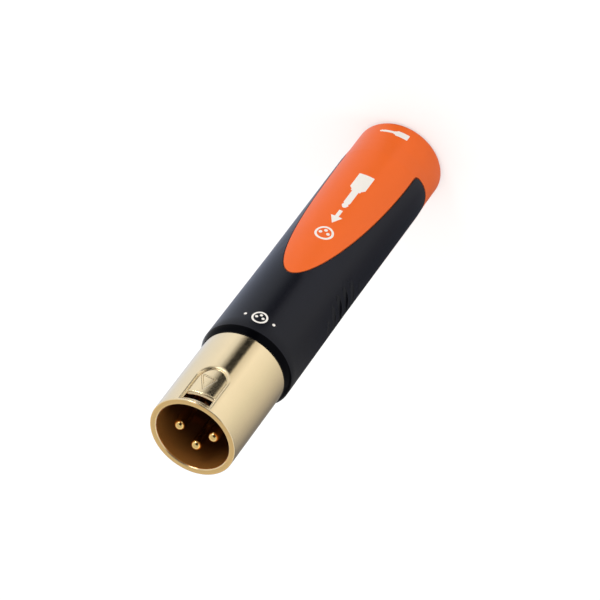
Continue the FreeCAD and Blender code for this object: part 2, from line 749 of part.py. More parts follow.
# Frame behind the bush, with the plug cavity, a window for each leaf and a slot for each tag
frame_radius = handle_bore / 2 - fit_gap * 2
frame_form = turned(
    "frame_form",
    [
        (bush_tail_width / 2 + fit_gap, frame_low),
        (frame_radius, frame_low),
        (frame_radius, frame_top),
        (0, frame_top),
        (0, cavity_top),
        (cavity_width / 2, cavity_top),
        (cavity_width / 2, tail_top + fit_gap),
        (bush_tail_width / 2 + fit_gap, tail_top + fit_gap),
    ],
)
window_span = leaf_width + leaf_room * 2
leaf_drop = leaf_end + leaf_clear
frame_cuts = []
plate_cuts = []
tag_slot = leaf_thickness + spring_room
for name, side, contact in (("tip_spring", -1, tip_contact), ("sleeve_spring", 1, sleeve_contact)):
    window_low = contact - leaf_drop
    start = -frame_radius - overcut if side < 0 else as_size(0)
    frame_cuts.append(
        block(
            name + "_window",
            (-window_span / 2, start, window_low),
            (window_span, frame_radius + overcut, cavity_top - window_low),
        )
    )
    tag_low = leaf_place * side - tag_slot / 2
    frame_cuts.append(
        block(
            name + "_frame_slot",
            (-window_span / 2, tag_low, cavity_top - overcut),
            (window_span, tag_slot, frame_top - cavity_top + overcut * 2),
        )
    )
    plate_cuts.append(
        block(
            name + "_plate_slot",
            (-window_span / 2, tag_low, plate_low - overcut),
            (window_span, tag_slot, rear_plate_height + overcut * 2),
        )
    )
keep(cut("jack_frame", frame_form, joined("frame_cuts", frame_cuts)))
plate_form = cylinder("plate_form", frame_radius * 2, plate_low, plate_top)
keep(cut("jack_rear_plate", plate_form, joined("plate_cuts", plate_cuts)))

# Contact leaves, bent to press on the plug's tip and on its sleeve
for name, side, contact in (("tip_spring", -1, tip_contact), ("sleeve_spring", 1, sleeve_contact)):
    keep(
        strip(
            name,
            [
                (leaf_place * side, tag_top),
                (leaf_place * side, contact + leaf_slope),
                (leaf_rest * side, contact),
                (leaf_free * side, contact - leaf_end),
            ],
            leaf_width,
            leaf_thickness,
        )
    )


# Wires, free between the tags and the solder cups. Their shapes read every size from the sheet
BEND_SHARE = 0.45


def runs(points, name):
    """The edges of straight runs joined by tangent arcs, as large as the two runs beside each allow."""
    edges = []
    last = points[0]
    for before, corner, after in zip(points, points[1:], points[2:]):
        back = (before - corner).normalize()
        ahead = (after - corner).normalize()
        reach = BEND_SHARE * min((before - corner).Length, (after - corner).Length)
        half_turn = (math.pi - back.getAngle(ahead)) / 2
        radius = reach / math.tan(half_turn)
        inwards = (back + ahead).normalize()
        middle = corner + inwards * (radius / math.cos(half_turn) - radius)
        start = corner + back * reach
        finish = corner + ahead * reach
        edges.append(Part.LineSegment(last, start).toShape())
        edges.append(Part.Arc(start, middle, finish).toShape())
        print(name, "bend radius", round(radius, 1))
        last = finish
    edges.append(Part.LineSegment(last, points[-1]).toShape())
    return edges


def tube(edges, width):
    """A round bar along a path, with its section set square to the first edge."""
    path = Part.Wire(edges)
    start = path.Vertexes[0].Point
    ahead = edges[0].tangentAt(edges[0].FirstParameter)
    section = Part.Wire(Part.makeCircle(width.value / 2, start, ahead))
    return path.makePipeShell([section], True, False)


def upright_end(edge, inner, level):
    """The upright straight edge that joins its inner end to a level."""
    outer = Vector(edge.Vertexes[inner].X, edge.Vertexes[inner].Y, level.value)
    return outer, edge.Vertexes[inner].Point


def stripped(edges, low, high):
    """The same path with its two upright ends cut back to two levels."""
    first_outer, first_inner = upright_end(edges[0], 1, low)
    last_outer, last_inner = upright_end(edges[-1], 0, high)
    first = Part.LineSegment(first_outer, first_inner).toShape()
    last = Part.LineSegment(last_inner, last_outer).toShape()
    return [first] + edges[1:-1] + [last]


def add_wire(name, shape):
    wire = doc.addObject("Part::Feature", name)
    wire.Shape = shape
    keep(wire)


# Corners of a wire's route from its tag to its cup: shares of the cup's distance along X, of the tag's
# distance along Y, and of the climb between the two
ROUTE = ((0, 1, 0.14), (0.1, 1.04, 0.33), (0.55, 0.8, 0.5), (0.92, 0.34, 0.64))
LAST_SHARE = 0.79
tag_side = leaf_place - leaf_thickness / 2 - strand_width / 2 - solder_gap
climb = cup_end - tag_top
conductor_top = cup_end + cup_overlap
wires = (("hot_wire", -1, as_size(0), hot_bare), ("earth_wire", 1, earth_shift, earth_bare))
for name, side, shift, bare in wires:
    beside_tag = tag_side.value * side
    in_cup = (pin_circle + shift).value * side
    points = [Vector(0, beside_tag, (tag_top - tag_overlap).value)]
    for across, back, share in ROUTE:
        level = tag_top + climb * share
        points.append(Vector(pin_circle.value * across * side, beside_tag * back, level.value))
    points.append(Vector(in_cup, 0, (tag_top + climb * LAST_SHARE).value))
    points.append(Vector(in_cup, 0, conductor_top.value))
    edges = runs(points, name)
    jacket = tube(stripped(edges, tag_top + tag_bare, cup_end - bare), wire_width)
    add_wire(name, tube(edges, strand_width).fuse(jacket).removeSplitter())

link_start = pin_circle - link_shift
link_low = cup_end - link_drop
link_points = [
    Vector(link_start.value, 0, conductor_top.value),
    Vector(link_start.value, 0, link_low.value),
    Vector(0, pin_circle.value, link_low.value),
    Vector(0, pin_circle.value, conductor_top.value),
]
add_wire("pin_link_wire", tube(runs(link_points, "pin_link_wire"), link_width))

# Everything is computed, tested and written
doc.recompute()
os.makedirs("parts", exist_ok=True)
for thing in doc.Objects:
    if "Invalid" in thing.State or "Error" in thing.State:
        raise ValueError(f"{thing.Label} failed: {thing.State}")
for thing in nodes:
    if thing.Shape.isNull() or not thing.Shape.isValid():
        raise ValueError(f"{thing.Label} has no valid shape")
for thing in nodes:
    thing.Shape.exportStep(f"parts/{thing.Label}.step")
    print(thing.Label, len(thing.Shape.Solids), "solid", round(thing.Shape.Volume, 1), "mm3")
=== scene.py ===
"""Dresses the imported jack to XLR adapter: its finishes, printed marks, camera, lamps and floor."""
import json
import math

import bmesh
import bpy
from bpy.props import FloatProperty, FloatVectorProperty, PointerProperty
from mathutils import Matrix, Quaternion, Vector

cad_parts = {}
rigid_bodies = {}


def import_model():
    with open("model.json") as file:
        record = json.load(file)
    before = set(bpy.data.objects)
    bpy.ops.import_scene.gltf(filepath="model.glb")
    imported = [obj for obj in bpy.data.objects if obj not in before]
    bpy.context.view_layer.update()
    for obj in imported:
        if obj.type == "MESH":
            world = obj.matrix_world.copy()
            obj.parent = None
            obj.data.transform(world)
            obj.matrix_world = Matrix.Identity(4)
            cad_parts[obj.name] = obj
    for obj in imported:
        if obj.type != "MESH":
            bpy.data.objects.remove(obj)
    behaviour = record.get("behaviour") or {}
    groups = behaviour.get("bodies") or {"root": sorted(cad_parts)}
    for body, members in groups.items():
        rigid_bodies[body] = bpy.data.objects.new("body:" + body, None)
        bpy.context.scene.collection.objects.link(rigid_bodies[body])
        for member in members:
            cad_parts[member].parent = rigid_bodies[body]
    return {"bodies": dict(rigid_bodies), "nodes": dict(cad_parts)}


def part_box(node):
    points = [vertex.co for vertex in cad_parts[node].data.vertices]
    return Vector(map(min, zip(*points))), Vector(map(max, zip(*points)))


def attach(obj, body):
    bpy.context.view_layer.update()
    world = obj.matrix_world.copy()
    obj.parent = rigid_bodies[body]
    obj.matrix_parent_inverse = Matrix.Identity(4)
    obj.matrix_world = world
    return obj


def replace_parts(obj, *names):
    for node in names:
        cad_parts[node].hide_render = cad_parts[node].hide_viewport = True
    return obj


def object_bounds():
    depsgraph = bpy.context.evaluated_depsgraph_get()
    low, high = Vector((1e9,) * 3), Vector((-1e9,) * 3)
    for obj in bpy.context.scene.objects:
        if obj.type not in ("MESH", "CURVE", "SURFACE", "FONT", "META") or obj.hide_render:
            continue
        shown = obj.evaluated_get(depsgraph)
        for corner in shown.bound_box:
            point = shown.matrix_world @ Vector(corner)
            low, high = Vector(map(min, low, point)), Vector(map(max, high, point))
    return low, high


bl_info = {
    "name": "Jack to XLR adapter",
    "version": (1, 0, 0),
    "blender": (4, 5, 0),
    "location": "View3D > Sidebar > Adapter",
    "description": "Gives the adapter its finishes and marks, and lights it on a pale floor",
    "category": "Object",
}

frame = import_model()
cad_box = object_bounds()
nodes = frame["nodes"]

MM = 0.001
BODY = next(iter(frame["bodies"]))


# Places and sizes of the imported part

BOTTOM, TOP = cad_box
HANDLE_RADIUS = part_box("handle_body")[1].x
CAP_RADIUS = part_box("end_cap")[1].y
SHELL_WALL = 1.375 * MM
MOUTH_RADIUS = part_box("xlr_shell")[1].x - SHELL_WALL
# The faces of the collar's chamfer have their middles above this level
CHAMFER_HEIGHT = 1.55 * MM
COLLAR_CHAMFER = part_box("handle_body")[1].z - CHAMFER_HEIGHT
CUP_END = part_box("pin_1")[0].z
TAG_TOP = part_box("tip_spring")[1].z
# Bare conductor above a tag, and below the cup of each wire
TAG_BARE = 0.4 * MM
HOT_BARE = 1.2 * MM
EARTH_BARE = 3.3 * MM

# The sign in the pad: its corners in millimetres from the window's middle and below the mouth, its relief,
# the line's half width at full depth and where its flanks end, and the level in Y that it lies before
PAD_SIGN = ((2.5, 9.2), (-0.85, 8.6), (0.3, 5.1))
SIGN_DEPTH = 0.36 * MM
SIGN_LINE = 0.12 * MM
SIGN_FLANK = 0.24 * MM
PAD_FRONT = -8.0 * MM

# Vertices nearer than this are one
MERGE = 0.001 * MM
# Noise lies between these values nearly everywhere
NOISE_SPAN = {"From Min": 0.3, "From Max": 0.7}
WHITE = (1.0, 1.0, 1.0, 1.0)
# Share of white that the paper needs beside the lamps to be seen at white
PAPER_LIFT = 0.46


def linear(code):
    """Turns an sRGB hex colour into the linear one that shaders work in."""
    shares = [int(code[place : place + 2], 16) / 255 for place in (1, 3, 5)]
    return [share / 12.92 if share <= 0.04045 else ((share + 0.055) / 1.055) ** 2.4 for share in shares]


def colour_property(name, description, code):
    return FloatVectorProperty(
        name=name,
        description=description,
        subtype="COLOR",
        size=3,
        min=0.0,
        max=1.0,
        default=linear(code),
    )


def length_property(name, description, millimetres):
    return FloatProperty(
        name=name,
        description=description,
        subtype="DISTANCE",
        unit="LENGTH",
        precision=5,
        default=millimetres * MM,
    )


class AdapterSizes(bpy.types.PropertyGroup):
    """Sizes of the printed marks and of the edges"""

    ink_thickness: length_property("Ink", "Thickness of the printed ink", 0.012)
    route_mark_place: length_property("Route mark", "Middle of the long mark, above the flat end", 32.7)
    face_mark_place: length_property("Face mark", "Middle of the mark beside the shell, above the end", 73.0)
    plug_mark_place: length_property("Plug mark", "Middle of the small mark on the ring, above the end", 3.8)
    moulded_edge: length_property("Moulded edge", "Rounding of the mouldings' and turned parts' edges", 0.12)
    cast_edge: length_property("Cast edge", "Rounding of the casting's edges, tumbled before plating", 0.4)
    # Within this width of an edge the mouldings' colour is darkened: painted shade
    edge_shade: length_property("Edge shade", "Width of the shade that gathers along a parting line", 0.3)


class AdapterColours(bpy.types.PropertyGroup):
    """Colours of the finishes"""

    cap_orange: colour_property("Cap", "Pigment of the orange moulding", "#F26A24")
    handle_black: colour_property("Handle", "Pigment of the black moulding", "#0A0B14")
    gold: colour_property("Gold", "Gold plating of the shell", "#EBD6AE")
    contact_gold: colour_property("Contacts", "Gold plating of the contact pins", "#EBCB86")
    ink: colour_property("Ink", "White of the printed marks", "#F4EEE6")
    paper: colour_property("Paper", "Floor and backdrop", "#C4C4C2")


# Materials


def add(tree, kind, inputs=None, **settings):
    """Adds a node with its settings. An input is given a value, or the output that it is linked to."""
    made = tree.nodes.new(kind)
    for name, value in settings.items():
        setattr(made, name, value)
    for name, value in (inputs or {}).items():
        if isinstance(value, bpy.types.NodeSocket):
            tree.links.new(value, made.inputs[name])
        else:
            made.inputs[name].default_value = value
    return made


def rgba(colour, share=1.0):
    """A colour, or a darker share of it, as shaders take it."""
    return (*(part * share for part in colour), 1.0)


def start_material(name, shader):
    """A material with its surface shader and its output. Returns the material, its tree and the shader."""
    material = bpy.data.materials.new(name)
    material.use_nodes = True
    tree = material.node_tree
    tree.nodes.clear()
    surface = add(tree, "ShaderNodeBsdfPrincipled", shader)
    add(tree, "ShaderNodeOutputMaterial", {"Surface": surface.outputs["BSDF"]})
    return material, tree, surface


def lay_skin(tree, surface, pattern, colour, darkest, gloss, relief=None):
    """Gives a surface its pattern, which darkens the colour to a share and runs over a span of roughness.

    The relief names what a raised skin is made from: its height, its depth and the normals under it.
    """
    mottle = {"Factor": pattern, "A": rgba(colour, darkest), "B": rgba(colour)}
    skin = add(tree, "ShaderNodeMix", mottle, data_type="RGBA")
    tree.links.new(skin.outputs["Result"], surface.inputs["Base Color"])
    rough = {"Value": pattern, **NOISE_SPAN, "To Min": gloss[0], "To Max": gloss[1]}
    rough = add(tree, "ShaderNodeMapRange", rough)
    tree.links.new(rough.outputs["Result"], surface.inputs["Roughness"])
    if relief is not None:
        raised = add(tree, "ShaderNodeBump", relief)
        tree.links.new(raised.outputs["Normal"], surface.inputs["Normal"])


# Says where the mouldings' painted edge shade lies
def edge_shade_share(tree, reach):
    """0 on an open face, rising to 1 along an edge that is nearer than a reach.

    What counts is how far the edge turns the skin, so a shallow one shows less.
    """
    bent = add(tree, "ShaderNodeBevel", {"Radius": reach}, samples=8).outputs["Normal"]
    true = add(tree, "ShaderNodeNewGeometry").outputs["True Normal"]
    alike = add(tree, "ShaderNodeVectorMath", {0: bent, 1: true}, operation="DOT_PRODUCT").outputs["Value"]
    # Cosines of about 10 and 31 degrees
    turn = {"Value": alike, "From Min": 0.985, "From Max": 0.86}
    return add(tree, "ShaderNodeMapRange", turn, interpolation_type="SMOOTHSTEP").outputs["Result"]


def segment_distance(tree, spot, start, end):
    """Distance of a spot from a straight line between two points."""
    along = Vector(end) - Vector(start)
    offset = add(tree, "ShaderNodeVectorMath", {0: spot, 1: start}, operation="SUBTRACT").outputs[0]
    inputs = {0: offset, 1: along / along.length_squared}
    share = add(tree, "ShaderNodeVectorMath", inputs, operation="DOT_PRODUCT").outputs["Value"]
    share = add(tree, "ShaderNodeClamp", {"Value": share}).outputs["Result"]
    foot = add(tree, "ShaderNodeVectorMath", {0: along, "Scale": share}, operation="SCALE").outputs[0]
    gap = add(tree, "ShaderNodeVectorMath", {0: offset, 1: foot}, operation="SUBTRACT").outputs[0]
    return add(tree, "ShaderNodeVectorMath", {0: gap}, operation="LENGTH").outputs["Value"]


def pad_sign(tree, place):
    """1 in the triangle outline that is cast into the pad under the window, and 0 beside it."""
    parts = add(tree, "ShaderNodeSeparateXYZ", {"Vector": place}).outputs
    spot = add(tree, "ShaderNodeCombineXYZ", {"X": parts["X"], "Z": parts["Z"]}).outputs[0]
    corners = [(across * MM, 0.0, TOP.z - down * MM) for across, down in PAD_SIGN]
    nearest = None
    for start, end in zip(corners, corners[1:] + corners[:1]):
        reach = segment_distance(tree, spot, start, end)
        if nearest is not None:
            reach = add(tree, "ShaderNodeMath", {0: reach, 1: nearest}, operation="MINIMUM").outputs[0]
        nearest = reach
    line = {"Value": nearest, "From Min": SIGN_FLANK, "From Max": SIGN_LINE}
    groove = add(tree, "ShaderNodeMapRange", line, interpolation_type="SMOOTHSTEP").outputs["Result"]
    front = add(tree, "ShaderNodeMath", {0: parts["Y"], 1: PAD_FRONT}, operation="LESS_THAN").outputs[0]
    return add(tree, "ShaderNodeMath", {0: groove, 1: front}, operation="MULTIPLY").outputs[0]


def gold_plated_zinc():
    """Gold flash over a bright nickel layer on a tumbled zinc casting.

    The tumbling leaves a faint orange peel of about 0.5 mm, so reflections have soft edges. The thin gold is
    pale, in clouds of about 4 mm. The plating bath throws less of it into the mouth, which is duller and
    less metallic there. The mouth's orange-brown is partly that thinner plating and partly painted shade,
    and it gets darker with the depth as painted shade of the hollow. The rim is coloured darker and
    yellower, a painted tint of the light on its top face.
    """
    scene = bpy.context.scene
    gold = scene.adapter_colours.gold
    material, tree, surface = start_material("gold plated zinc", {})
    place = add(tree, "ShaderNodeTexCoord").outputs["Object"]
    flat = add(tree, "ShaderNodeVectorMath", {0: place, 1: (1.0, 1.0, 0.0)}, operation="MULTIPLY").outputs[0]
    radius = add(tree, "ShaderNodeVectorMath", {0: flat}, operation="LENGTH").outputs["Value"]
    height = add(tree, "ShaderNodeSeparateXYZ", {"Vector": place}).outputs["Z"]

    # Where the wall of the mouth, the rim and the depth of the mouth begin and end
    walls = {"Value": radius, "From Min": MOUTH_RADIUS + 0.06 * MM, "From Max": MOUTH_RADIUS + 0.02 * MM}
    inside = add(tree, "ShaderNodeMapRange", walls).outputs["Result"]
    ends = {"Value": height, "From Min": TOP.z - 0.1 * MM, "From Max": TOP.z - 0.02 * MM}
    rim = add(tree, "ShaderNodeMapRange", ends).outputs["Result"]
    depths = {"Value": height, "From Min": TOP.z - 1.5 * MM, "From Max": TOP.z - 8.0 * MM}
    depth = add(tree, "ShaderNodeMapRange", depths).outputs["Result"]
    depth_shade = add(tree, "ShaderNodeMath", {0: inside, 1: depth}, operation="MULTIPLY").outputs[0]

    cloud = add(tree, "ShaderNodeTexNoise", {"Vector": place, "Scale": 1 / (4.0 * MM), "Detail": 3.0})
    mottle = {"Factor": cloud.outputs["Fac"], "A": rgba(gold, 0.95), "B": rgba(gold)}
    skin = add(tree, "ShaderNodeMix", mottle, data_type="RGBA").outputs["Result"]
    # Painted light: the rim's yellower tint stands for the light on it, the mouth's darkening with depth for
    # shade
    for share, code in ((rim, "#E6C284"), (inside, "#E0984A"), (depth_shade, "#7C4C24")):
        layer = {"Factor": share, "A": skin, "B": rgba(linear(code))}
        skin = add(tree, "ShaderNodeMix", layer, data_type="RGBA").outputs["Result"]
    metal = add(tree, "ShaderNodeMapRange", {"Value": inside, "To Min": 1.0, "To Max": 0.76})
    tree.links.new(metal.outputs["Result"], surface.inputs["Metallic"])

    noise = {"Vector": place, "Scale": 1 / (0.5 * MM), "Detail": 2.0}
    peel = add(tree, "ShaderNodeTexNoise", noise).outputs["Fac"]
    polish = {"Value": peel, **NOISE_SPAN, "To Min": 0.11, "To Max": 0.16}
    polish = add(tree, "ShaderNodeMapRange", polish).outputs["Result"]
    dull = add(tree, "ShaderNodeMath", {0: inside, 1: 0.08}, operation="MULTIPLY").outputs[0]
    gloss = add(tree, "ShaderNodeMath", {0: polish, 1: dull}, operation="ADD").outputs[0]

    rounded = add(tree, "ShaderNodeBevel", {"Radius": scene.adapter_sizes.cast_edge}, samples=6)
    raised = add(tree, "ShaderNodeMath", {0: 1.0, 1: pad_sign(tree, place)}, operation="SUBTRACT").outputs[0]
    sign = {"Height": raised, "Distance": SIGN_DEPTH, "Normal": rounded.outputs["Normal"]}
    signed = add(tree, "ShaderNodeBump", sign).outputs["Normal"]
    relief = add(tree, "ShaderNodeBump", {"Height": peel, "Distance": 0.006 * MM, "Normal": signed})
    tree.links.new(skin, surface.inputs["Base Color"])
    tree.links.new(gloss, surface.inputs["Roughness"])
    tree.links.new(relief.outputs["Normal"], surface.inputs["Normal"])
    return material


def gold_plated_brass():
    """Hard gold on a turned and polished brass pin: smoother and yellower than the casting.

    The polish leaves a haze in spots of about 0.3 mm.
    """
    gold = bpy.context.scene.adapter_colours.contact_gold
    material, tree, surface = start_material("gold plated brass", {"Metallic": 1.0})
    place = add(tree, "ShaderNodeTexCoord").outputs["Object"]
    noise = {"Vector": place, "Scale": 1 / (0.3 * MM), "Detail": 3.0}
    haze = add(tree, "ShaderNodeTexNoise", noise).outputs["Fac"]
    lay_skin(tree, surface, haze, gold, darkest=0.95, gloss=(0.10, 0.16))
    return material


def moulded_plastic(name, colour, gloss, texture_depth, specular):
    """ABS moulded in a spark-eroded tool: a satin skin with a grain of about 0.2 mm.

    Its colour is darkened along its edges, as at the parting line between the cap and the handle: painted
    shade. The melt's flow clouds the colour a little, in patches of about 7 mm.
    """
    sizes = bpy.context.scene.adapter_sizes
    material, tree, surface = start_material(name, {"IOR": 1.53, "Specular IOR Level": specular})
    place = add(tree, "ShaderNodeTexCoord").outputs["Object"]
    noise = {"Vector": place, "Scale": 1 / (0.22 * MM), "Detail": 2.0}
    spark = add(tree, "ShaderNodeTexNoise", noise).outputs["Fac"]
    flow = add(tree, "ShaderNodeTexNoise", {"Vector": place, "Scale": 1 / (7.0 * MM), "Detail": 3.0})
    mottle = {"Factor": flow.outputs["Fac"], "A": rgba(colour, 0.95), "B": rgba(colour)}
    body = add(tree, "ShaderNodeMix", mottle, data_type="RGBA").outputs["Result"]
    # Painted shade: the colour darkens to 8 per cent along the edges
    shade = {"Factor": edge_shade_share(tree, sizes.edge_shade), "A": body, "B": rgba(colour, 0.08)}
    body = add(tree, "ShaderNodeMix", shade, data_type="RGBA").outputs["Result"]
    satin = {"Value": spark, **NOISE_SPAN, "To Min": gloss - 0.03, "To Max": gloss + 0.04}
    satin = add(tree, "ShaderNodeMapRange", satin).outputs["Result"]
    rounded = add(tree, "ShaderNodeBevel", {"Radius": sizes.moulded_edge}, samples=6).outputs["Normal"]
    relief = add(tree, "ShaderNodeBump", {"Height": spark, "Distance": texture_depth, "Normal": rounded})
    tree.links.new(body, surface.inputs["Base Color"])
    tree.links.new(satin, surface.inputs["Roughness"])
    tree.links.new(relief.outputs["Normal"], surface.inputs["Normal"])
    return material


def black_abs():
    """The handle's black: satin, so that a lamp draws a broad grey sheen along it."""
    colour = bpy.context.scene.adapter_colours.handle_black
    return moulded_plastic("satin black ABS", colour, gloss=0.31, texture_depth=0.004 * MM, specular=0.19)


def shaded_collar_abs():
    """Black ABS at the collar, smooth from a polished stretch of the tool, and darkened to a fifth: painted
    shade.
    """
    # Painted shade: the chamfer gets a fifth of the handle's colour
    colour = rgba(bpy.context.scene.adapter_colours.handle_black, 0.2)[:3]
    return moulded_plastic("collar black ABS with painted shade", colour, gloss=0.16, texture_depth=0.001 * MM, specular=0.03)


def orange_abs():
    """The cap's orange: duller than the handle, so that the pigment shows nearly everywhere."""
    colour = bpy.context.scene.adapter_colours.cap_orange
    return moulded_plastic("satin orange ABS", colour, gloss=0.38, texture_depth=0.004 * MM, specular=0.16)


def filled_polyester():
    """Black PBT with glass fibres, as the insert and the jack's frame are moulded in: dull and streaky.

    The fibres lie in tufts of about 0.6 mm.
    """
    colour = linear("#0F0F11")
    material, tree, surface = start_material("glass filled PBT", {"IOR": 1.55, "Specular IOR Level": 0.3})
    place = add(tree, "ShaderNodeTexCoord").outputs["Object"]
    noise = {"Vector": place, "Scale": 1 / (0.6 * MM), "Detail": 5.0, "Roughness": 0.65}
    fibres = add(tree, "ShaderNodeTexNoise", noise).outputs["Fac"]
    relief = {"Height": fibres, "Distance": 0.008 * MM}
    lay_skin(tree, surface, fibres, colour, darkest=0.7, gloss=(0.45, 0.62), relief=relief)
    return material


def turned_nickel():
    """Bright nickel on turned brass: the tool leaves rings round the axis, and fingers a faint smear.

    A real feed mark is about 0.05 mm wide, and the rings are drawn twice as coarse so that they show.
    """
    colour = linear("#CFC9BF")
    material, tree, surface = start_material("turned nickel plate", {"Metallic": 1.0})
    place = add(tree, "ShaderNodeTexCoord").outputs["Object"]
    feed = 0.1 * MM
    # At a scale of 1 the wave repeats every pi / 10
    wave = {"Vector": place, "Scale": math.pi / 10 / feed, "Distortion": 0.4, "Detail": 1.0}
    rings = add(tree, "ShaderNodeTexWave", wave, wave_type="RINGS", rings_direction="Z").outputs["Fac"]
    noise = {"Vector": place, "Scale": 1 / (1.5 * MM), "Detail": 3.0}
    smear = add(tree, "ShaderNodeTexNoise", noise).outputs["Fac"]
    edge = {"Radius": bpy.context.scene.adapter_sizes.moulded_edge}
    rounded = add(tree, "ShaderNodeBevel", edge, samples=6).outputs["Normal"]
    relief = {"Height": rings, "Distance": 0.002 * MM, "Normal": rounded}
    lay_skin(tree, surface, smear, colour, darkest=0.9, gloss=(0.2, 0.32), relief=relief)
    return material


def rolled_strip(name, code):
    """Metal strip with rolling lines along its length, which is upright here: it shines in long streaks.

    Real rolling lines are a few hundredths of a millimetre wide, and are drawn 0.12 mm wide to show.
    """
    material, tree, surface = start_material(name, {"Metallic": 1.0})
    place = add(tree, "ShaderNodeTexCoord").outputs["Object"]
    stretch = {"Vector": place, "Scale": (1.0, 1.0, 0.03)}
    drawn_out = add(tree, "ShaderNodeMapping", stretch).outputs["Vector"]
    noise = {"Vector": drawn_out, "Scale": 1 / (0.12 * MM), "Detail": 2.0}
    lines = add(tree, "ShaderNodeTexNoise", noise).outputs["Fac"]
    relief = {"Height": lines, "Distance": 0.003 * MM}
    lay_skin(tree, surface, lines, linear(code), darkest=0.82, gloss=(0.25, 0.4), relief=relief)
    return material


def wire_insulation(name, code, low, high):
    """Soft PVC over tinned copper: waxy, with a mottle of about 0.8 mm.

    Below and above two levels the copper is bare.
    """
    colour = linear(code)
    material, tree, surface = start_material(name, {"IOR": 1.54})
    place = add(tree, "ShaderNodeTexCoord").outputs["Object"]
    height = add(tree, "ShaderNodeSeparateXYZ", {"Vector": place}).outputs["Z"]
    above = add(tree, "ShaderNodeMath", {0: height, 1: low}, operation="GREATER_THAN").outputs[0]
    below = add(tree, "ShaderNodeMath", {0: height, 1: high}, operation="LESS_THAN").outputs[0]
    covered = add(tree, "ShaderNodeMath", {0: above, 1: below}, operation="MULTIPLY").outputs[0]
    noise = {"Vector": place, "Scale": 1 / (0.8 * MM), "Detail": 3.0}
    wax = add(tree, "ShaderNodeTexNoise", noise).outputs["Fac"]
    mottle = {"Factor": wax, "A": rgba(colour, 0.88), "B": rgba(colour)}
    plastic = add(tree, "ShaderNodeMix", mottle, data_type="RGBA").outputs["Result"]
    layer = {"Factor": covered, "A": rgba(linear("#C9C6C0")), "B": plastic}
    skin = add(tree, "ShaderNodeMix", layer, data_type="RGBA").outputs["Result"]
    bare = add(tree, "ShaderNodeMath", {0: 1.0, 1: covered}, operation="SUBTRACT").outputs[0]
    rough = add(tree, "ShaderNodeMapRange", {"Value": wax, **NOISE_SPAN, "To Min": 0.3, "To Max": 0.42})
    tree.links.new(skin, surface.inputs["Base Color"])
    tree.links.new(bare, surface.inputs["Metallic"])
    tree.links.new(rough.outputs["Result"], surface.inputs["Roughness"])
    return material


def tinned_copper():
    """Tin on copper wire: bright, with a slightly frosted skin in spots of about 0.25 mm."""
    material, tree, surface = start_material("tinned copper", {"Metallic": 1.0})
    place = add(tree, "ShaderNodeTexCoord").outputs["Object"]
    noise = {"Vector": place, "Scale": 1 / (0.25 * MM), "Detail": 4.0}
    frost = add(tree, "ShaderNodeTexNoise", noise).outputs["Fac"]
    relief = {"Height": frost, "Distance": 0.006 * MM}
    tin = linear("#CDCBC6")
    lay_skin(tree, surface, frost, tin, darkest=0.85, gloss=(0.22, 0.42), relief=relief)
    return material


def pad_print_ink():
    """Two-part pad printing ink: flat white, uneven in spots of about 0.3 mm, as the pad leaves it."""
    colour = bpy.context.scene.adapter_colours.ink
    material, tree, surface = start_material("pad printing ink", {"IOR": 1.5, "Specular IOR Level": 0.3})
    place = add(tree, "ShaderNodeTexCoord").outputs["Object"]
    noise = {"Vector": place, "Scale": 1 / (0.3 * MM), "Detail": 3.0}
    spots = add(tree, "ShaderNodeTexNoise", noise).outputs["Fac"]
    lay_skin(tree, surface, spots, colour, darkest=0.96, gloss=(0.42, 0.55))
    return material


def seen_share(tree):
    """1 for a ray that shows the studio to the eye, directly or in metal or glass, and 0 for its light."""
    path = add(tree, "ShaderNodeLightPath").outputs
    direct = {0: path["Is Camera Ray"], 1: path["Is Glossy Ray"]}
    direct = add(tree, "ShaderNodeMath", direct, operation="MAXIMUM").outputs[0]
    through = {0: direct, 1: path["Is Transmission Ray"]}
    return add(tree, "ShaderNodeMath", through, operation="MAXIMUM").outputs[0]


def background_paper():
    """Pale background paper with fibres of about 1.2 mm. The camera and the metal see it at white.

    It keeps the part's shadow.
    """
    colour = bpy.context.scene.adapter_colours.paper
    shader = {"Roughness": 0.9, "Specular IOR Level": 0.1, "Emission Color": WHITE}
    material, tree, surface = start_material("background paper", shader)
    place = add(tree, "ShaderNodeTexCoord").outputs["Object"]
    fibre = add(tree, "ShaderNodeTexNoise", {"Vector": place, "Scale": 1 / (1.2 * MM), "Detail": 4.0})
    mottle = {"Factor": fibre.outputs["Fac"], "A": rgba(colour, 0.99), "B": rgba(colour)}
    skin = add(tree, "ShaderNodeMix", mottle, data_type="RGBA").outputs["Result"]
    tree.links.new(skin, surface.inputs["Base Color"])
    lift = add(tree, "ShaderNodeMath", {0: seen_share(tree), 1: PAPER_LIFT}, operation="MULTIPLY").outputs[0]
    tree.links.new(lift, surface.inputs["Emission Strength"])
    return material


def start_card(name, level):
    """A matt card that shows in reflections at one level. Returns the material, its tree and the shader."""
    black = {"Base Color": rgba(linear("#000000")), "Roughness": 1.0, "Specular IOR Level": 0.0}
    return start_material(name, {**black, "Emission Color": WHITE, "Emission Strength": level})


def grey_card(name, level):
    """A card that shows at one level all over."""
    return start_card(name, level)[0]


